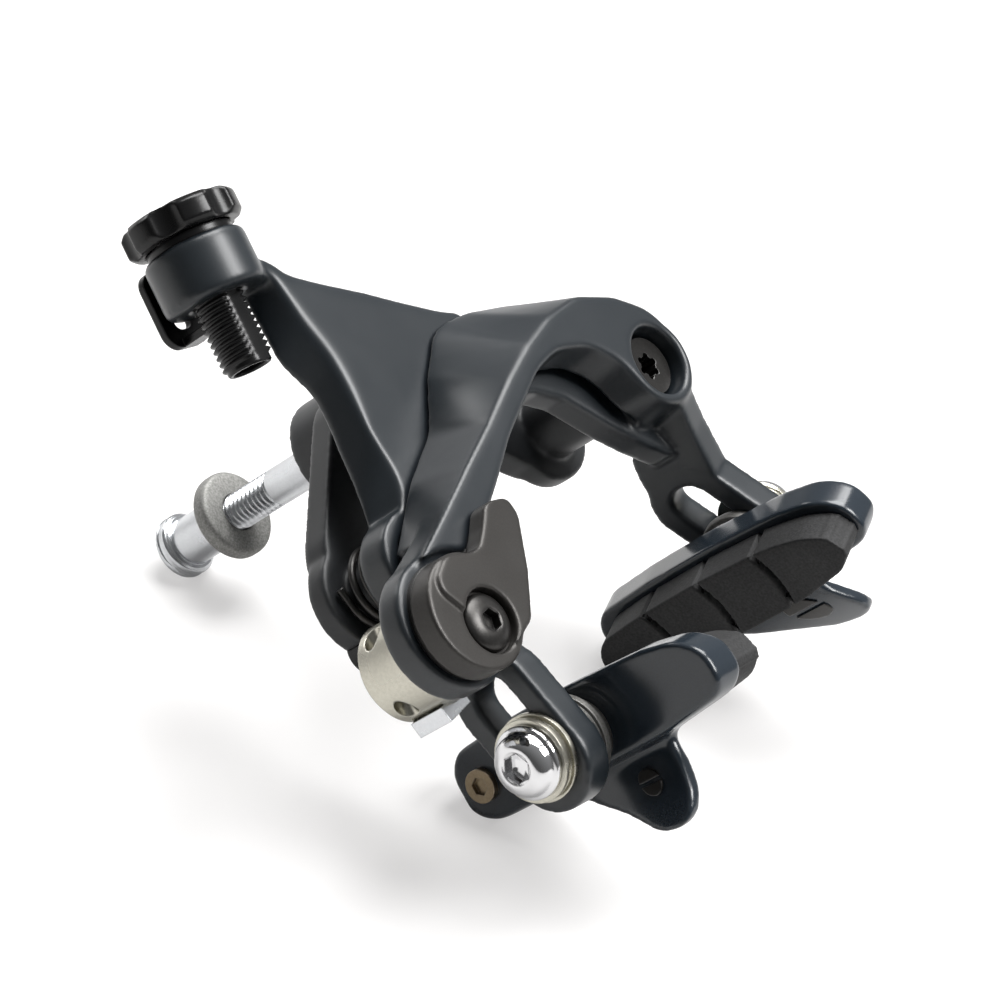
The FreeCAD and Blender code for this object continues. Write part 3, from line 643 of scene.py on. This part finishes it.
for side, word in ((-1, "near"), (1, "far")):
    to_own = pad_frame(side).inverted()
    casting = melted(0.26, 16, word + "_pad_holder", word + "_wheel_guide")
    flared(casting, side)
    even_skin(casting, 0.26, 8)
    softened(casting, lambda point: near_the_seam(to_own @ (point * mm) / mm), 130)
    slotted_end = melted(0.12, 3, word + "_guide_screw")
    slotted_head = copied(slotted_end, word + "_guide_screw_head")
    from_middle = Matrix.Translation(Vector((-screw_forward, -screw_out, -screw_up)) * mm)
    for piece, scale, turn, further_out in ((slotted_end, 0.60, 1, -1.0), (slotted_head, 0.92, -1, 1.2)):
        to_middle = Matrix.Translation(Vector((screw_forward, screw_out + further_out, screw_up)) * mm)
        in_pad = to_middle @ Matrix.Diagonal((scale, turn, scale, 1))
        piece.data.transform(in_pad @ from_middle @ to_own)
        piece.data.transform(to_own.inverted())
        facing_out(piece)
        flared(piece, side)

# %% [markdown]
# ## Drawn outlines
# Rubber blocks, bolts and washers all start from an outline. It is drawn as by hand: a plane is merged to a
# single vertex, and the vertex is pulled from point to point, distances across and along, in millimetres.

# %% Outline


def drawn(name, outline):
    """A line of edges through (across, along) points, beside the upright axis."""
    bpy.ops.object.select_all(action="DESELECT")
    bpy.ops.mesh.primitive_plane_add(size=1.0)
    piece = bpy.context.active_object
    piece.name = name
    opened(piece)
    bpy.ops.mesh.merge(type="CENTER")
    bpy.ops.transform.translate(value=(outline[0][0] * mm, 0, outline[0][1] * mm))
    for before, after in zip(outline, outline[1:]):
        step = ((after[0] - before[0]) * mm, 0, (after[1] - before[1]) * mm)
        bpy.ops.mesh.extrude_region_move(TRANSFORM_OT_translate={"value": step})
    closed()
    return piece


# %% [markdown]
# ## Brake rubber
# Each block is moulded rubber: a long rounded bar with a chamfer round its face and three narrow bowed grooves
# that carry water away. The outline is drawn and filled, its corners are rounded flat with a vertex bevel,
# and it is pulled out to its depth. After the remesh the grooves are pressed in, with steep walls and a flat
# floor. A boolean cut would leave the thin slivers that a moulded rubber never has.

# %% Rubber blocks
rubber_outline = [
    (1.0, 5.9), (15.0, 5.4), (22.8, 3.8), (26.2, 0.6), (25.0, -3.4), (13.0, -5.1), (-21.5, -5.2),
    (-24.6, -1.4), (-22.4, 4.6), (-12.0, 5.6)]
holder_face, rubber_depth, corner_r, chamfer_mm = -14.0, 6.4, 3.0, 1.3
grooves, groove_depth, groove_reach, groove_bow = (12.6, 1.2, -10.3), 1.9, 0.55, 0.03
for side, word in ((-1, "near"), (1, "far")):
    block = drawn(word + "_pad_rubber_skin", rubber_outline + rubber_outline[:1])
    opened(block)
    bpy.ops.mesh.remove_doubles(threshold=0.01 * mm)
    bpy.ops.mesh.edge_face_add()
    bpy.ops.mesh.bevel(offset=corner_r * mm, segments=5, affect="VERTICES")
    bpy.ops.transform.translate(value=(0, (holder_face - rubber_depth) * mm, 0))
    bpy.ops.mesh.extrude_region_move(TRANSFORM_OT_translate={"value": (0, rubber_depth * mm, 0)})
    bpy.ops.mesh.select_all(action="SELECT")
    bpy.ops.mesh.normals_make_consistent(inside=False)
    closed()
    chamfer = block.modifiers.new("chamfer", "BEVEL")
    chamfer.width = chamfer_mm * mm
    chamfer.segments = 1
    chamfer.angle_limit = math.radians(50)
    apply_all(block)
    even_skin(block, 0.18, 4)
    inward = [-vertex.normal.copy() for vertex in block.data.vertices]
    for vertex, direction in zip(block.data.vertices, inward):
        forward, out, up = vertex.co / mm
        for groove in grooves:
            across = abs(forward - groove + groove_bow * (up - 1) ** 2) / groove_reach
            if across < 1:
                vertex.co += direction * groove_depth * min(1, 3 - 3 * across) * mm
    block.data.transform(pad_frame(side))
    facing_out(block)
    block.data.materials.append(materials["pad_rubber"])
    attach(block, frame["nodes"][word + "_pad_rubber"]["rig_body"])
    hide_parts(word + "_pad_rubber")
    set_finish(block, "pad_rubber")
    print(block.name, "has", len(block.data.polygons), "faces")

# %% [markdown]
# ## Turned pieces and screw threads
# Bolts, nuts and washers are turned on a lathe, so each comes from one drawn outline that the Screw modifier
# swings round the axis. With a rise for each turn, the same modifier cuts a real thread,
# whose helix no stack of rings could imitate.

# %% Turning and placing


def swung(piece, steps, rise=0.0, turns=1):
    """Swing the outline round the axis, rising by this many millimetres a turn."""
    screw = piece.modifiers.new("swing", "SCREW")
    screw.axis = "Z"
    screw.steps = screw.render_steps = steps
    screw.screw_offset = rise * mm
    screw.iterations = turns
    screw.use_merge_vertices = rise == 0.0
    screw.merge_threshold = 0.0005 * mm
    apply_all(piece)
    opened(piece)
    bpy.ops.mesh.remove_doubles(threshold=0.0005 * mm)
    bpy.ops.mesh.normals_make_consistent(inside=False)
    closed()
    outward = sum(face.area * face.normal.dot(Vector((face.center.x, face.center.y, 0)).normalized())
                  for face in piece.data.polygons)
    if rise and outward < 0:
        piece.data.flip_normals()
    bpy.ops.object.shade_smooth_by_angle(angle=sharp_angle)
    return piece


def fitted(piece, place, node, finish, stands_for=True):
    """Move the piece's mesh to its place, give it the finish and let it ride with its node's body."""
    piece.data.transform(place)
    piece.data.materials.clear()
    piece.data.materials.append(materials[finish])
    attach(piece, frame["nodes"][node]["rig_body"])
    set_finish(piece, slot_of[node])
    if stands_for:
        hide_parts(node)
    print(piece.name, "has", len(piece.data.polygons), "faces")


def rear_of(node):
    """The rearmost point of a node, in mm."""
    return max(v.co.y for v in frame["nodes"][node].data.vertices) / mm


sharp_angle = math.radians(32)
to_rear = Matrix.Rotation(math.radians(-90), 4, "X")
print("the turning axis points to", [round(c) for c in to_rear @ Vector((0, 0, 1))])

# %% [markdown]
# ## Mounting bolt, washer and nut
# The bolt is M6: 6 mm over the crests and 1 mm from crest to crest. A plain shank comes out of the bracket and
# the thread starts after it. The washer is pressed from powder, so its rims are round and its skin is matt.
# The nut's flange has two beads for grip.

# %% Mounting bolt
bolt_r, bolt_root_r, thread_from, bolt_tip, bolt_pitch = 2.98, 2.42, 12.8, 33.0, 1.0
head_flats, head_height = 10.0, 4.0
bolt_front = min(v.co.y for v in frame["nodes"]["mounting_bolt"].data.vertices) / mm
head_middle = bolt_front + head_height / 2
shank = swung(drawn("mounting_bolt_skin", [
    (0, head_middle), (bolt_r, head_middle), (bolt_r, thread_from - 0.3), (bolt_r - 0.1, thread_from - 0.1),
    (bolt_root_r + 0.02, thread_from + 0.3), (bolt_root_r + 0.02, bolt_tip - 0.4),
    (bolt_root_r - 0.3, bolt_tip), (0, bolt_tip)]), 64)
bolt_ridge = [(bolt_root_r, 0), (bolt_r - 0.09, 0.40), (bolt_r - 0.02, 0.46), (bolt_r - 0.02, 0.54),
              (bolt_r - 0.09, 0.60), (bolt_root_r, 1.0)]
thread = swung(drawn("bolt_thread", [(r, thread_from - 0.9 + h * bolt_pitch) for r, h in bolt_ridge]),
               56, bolt_pitch, int(bolt_tip - thread_from))
bpy.ops.object.select_all(action="DESELECT")
bpy.ops.mesh.primitive_cylinder_add(
    vertices=6, radius=head_flats / math.sqrt(3) * mm, depth=head_height * mm,
    location=(0, 0, head_middle * mm))
head = bpy.context.active_object
bpy.ops.object.transform_apply()
soften = head.modifiers.new("soften", "BEVEL")
soften.width = 0.45 * mm
soften.segments = 3
apply_all(head)
bpy.ops.object.shade_smooth_by_angle(angle=sharp_angle)
fitted(joined([shank, thread, head]), to_rear, "mounting_bolt", "steel")

# %% Washer and nut beads


def arc(across, along, radius, start, end, steps):
    """Points of an arc round a centre, from a start to an end in degrees, turning to the left."""
    angles = [math.radians(start + (end - start) * k / steps) for k in range(steps + 1)]
    return [(across + radius * math.cos(a), along + radius * math.sin(a)) for a in angles]


washer_low, washer_high = (c.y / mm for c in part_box("fork_washer"))
washer_r, bore_r, rim = 7.0, 3.05, 0.9
washer = [(bore_r, washer_high), (bore_r, washer_low)]
washer += arc(washer_r - rim, washer_low + rim, rim, -90, 0, 4)
washer += arc(washer_r - rim, washer_high - rim, rim, 0, 90, 4) + washer[:1]
fitted(swung(drawn("fork_washer_skin", washer), 72), to_rear, "fork_washer", "sintered")

flange_r, bead_high, bead_half = 4.55, 0.58, 0.62
beads = []
for from_rear in (2.35, 0.95):
    middle = rear_of("sunken_nut") - from_rear
    bead = [(flange_r + 0.05, middle - bead_half)]
    for degrees in range(15, 180, 15):
        angle = math.radians(degrees)
        bead.append((flange_r + bead_high * math.sin(angle), middle - bead_half * math.cos(angle)))
    bead.append((flange_r + 0.05, middle + bead_half))
    beads.append(swung(drawn("nut_beads", bead), 64))
fitted(joined(beads), to_rear, "sunken_nut", "steel", stands_for=False)

# %% [markdown]
# ## Adjuster rod
# The cable's adjuster is a hollow plastic screw. Its thread is filed flat at the front and the rear, where a
# clip stops it from turning by itself. We make the whole thread first, and then push every vertex that lies
# beyond a flat back onto it, which leaves the thread's teeth along both sides as a file would.

# %% Adjuster rod
adjuster_tilt = math.radians(15.6)
adjuster_middle = Vector((-22.9, -22.0, 41.3)) * mm
to_adjuster = Matrix.Translation(adjuster_middle) @ Matrix.Rotation(adjuster_tilt, 4, "Y")
rod_r, rod_root_r, rod_low, rod_high, housing_r, cable_r = 3.9, 3.36, -23.0, 1.6, 2.55, 1.1
half_flat, flats_below, rod_pitch, rod_turns = 3.2, -12.2, 1.0, 22
tube = swung(drawn("adjuster_rod_skin", [
    (cable_r, rod_low + 3.0), (housing_r, rod_low + 3.0), (housing_r, rod_low + 0.2), (2.7, rod_low),
    (3.2, rod_low), (3.4, rod_low + 0.25), (rod_root_r + 0.02, rod_low + 0.7),
    (rod_root_r + 0.02, rod_high - 0.3), (3.1, rod_high), (housing_r, rod_high),
    (housing_r, rod_high - 7.0), (cable_r, rod_high - 7.0), (cable_r, rod_low + 3.0)]), 64)
rod_ridge = [(rod_root_r, 0), (rod_r - 0.06, 0.36), (rod_r, 0.42), (rod_r, 0.54), (rod_r - 0.06, 0.60),
             (rod_root_r, 0.96)]
rod_thread = drawn("rod_thread", [(r, rod_low + 0.3 + h) for r, h in rod_ridge])
rod = joined([tube, swung(rod_thread, 64, rod_pitch, rod_turns)])
for vertex in rod.data.vertices:
    if vertex.co.z < flats_below * mm:
        vertex.co.y = max(-half_flat * mm, min(half_flat * mm, vertex.co.y))
fitted(rod, to_adjuster, "adjuster_rod", "black_plastic")

# %% [markdown]
# ## Pad bolts
# Each pad is held by a chromed bolt whose low dome stands on a flange. The socket in it is six-sided.
# We swing the outline with a round socket first, in steps that put a vertex on each corner of the hexagon,
# and then move the socket's rings straight out or in onto the hexagon's sides.

# %% A six-sided socket


def keyed(piece, ring_r, flats):
    """Move the vertices of the rings with this radius onto a hexagon of this width over its flats."""
    for vertex in piece.data.vertices:
        across = Vector((vertex.co.x, vertex.co.y))
        if abs(across.length / mm - ring_r) < 0.004:
            angle = math.atan2(across.y, across.x) % math.radians(60) - math.radians(30)
            wide = flats / 2 / math.cos(angle) * mm / across.length
            vertex.co.x *= wide
            vertex.co.y *= wide
    bpy.ops.object.shade_smooth_by_angle(angle=sharp_angle)
    return piece


# %% Pad bolts
pad_bolt = [
    (0, -17.0), (2.7, -17.0), (2.97, -16.7), (2.97, 0), (5.1, 0), (5.4, 0.12), (5.5, 0.35), (5.5, 0.8),
    (5.4, 1.05), (5.15, 1.2), (4.85, 1.28), (4.75, 1.5), (4.7, 1.8), (4.52, 2.35), (4.15, 2.9),
    (3.65, 3.3), (3.1, 3.52), (2.65, 3.6), (2.45, 3.57), (2.36, 3.47), (2.30, 3.42), (2.30, 1.7), (0, 1.2)]
stud_out, stud_up, seat_out = 35.195, -48.852, 4.7
for side, word in ((-1, "near"), (1, "far")):
    outward = Vector((side * math.cos(splay), 0, math.sin(splay)))
    stud = Vector((side * stud_out, stud_back, stud_up)) * mm
    seat = stud + outward * seat_out * mm
    to_stud = Matrix.Translation(seat) @ outward.to_track_quat("Z", "Y").to_matrix().to_4x4()
    domed = swung(drawn(word + "_pad_bolt_skin", pad_bolt), 96)
    fitted(keyed(domed, ring_r=2.30, flats=4.0), to_stud, word + "_pad_bolt", "chrome")

# %% [markdown]
# ## Quick release bolt
# Its head is a shallow dome sunk in the lever's round recess. A ring of the lever's own metal lies at the
# bottom of the recess, and only slivers of it show round the dark head.

# %% Quick release bolt
head_foot = Vector((-43.9, -41.5, -26.8)) * mm
to_front = Matrix.Translation(head_foot) @ Matrix.Rotation(math.radians(90), 4, "X")
release_bolt = [
    (0, -16.0), (2.5, -16.0), (2.5, 0), (4.15, 0), (4.3, 0.2), (4.3, 0.9), (4.15, 1.25), (3.6, 1.65),
    (2.7, 2.0), (1.98, 2.15), (1.82, 2.12), (1.72, 2.02), (1.72, 0.6), (0, 0.3)]
shallow = swung(drawn("qr_bolt_skin", release_bolt), 72)
fitted(keyed(shallow, ring_r=1.72, flats=3.0), to_front, "qr_bolt", "dark_steel")
ring = [(4.36, 0), (4.76, 0), (4.76, 0.5), (4.36, 0.5), (4.36, 0)]
fitted(swung(drawn("recess_ring", ring), 72), to_front, "qr_bolt", "lever_metal", stands_for=False)
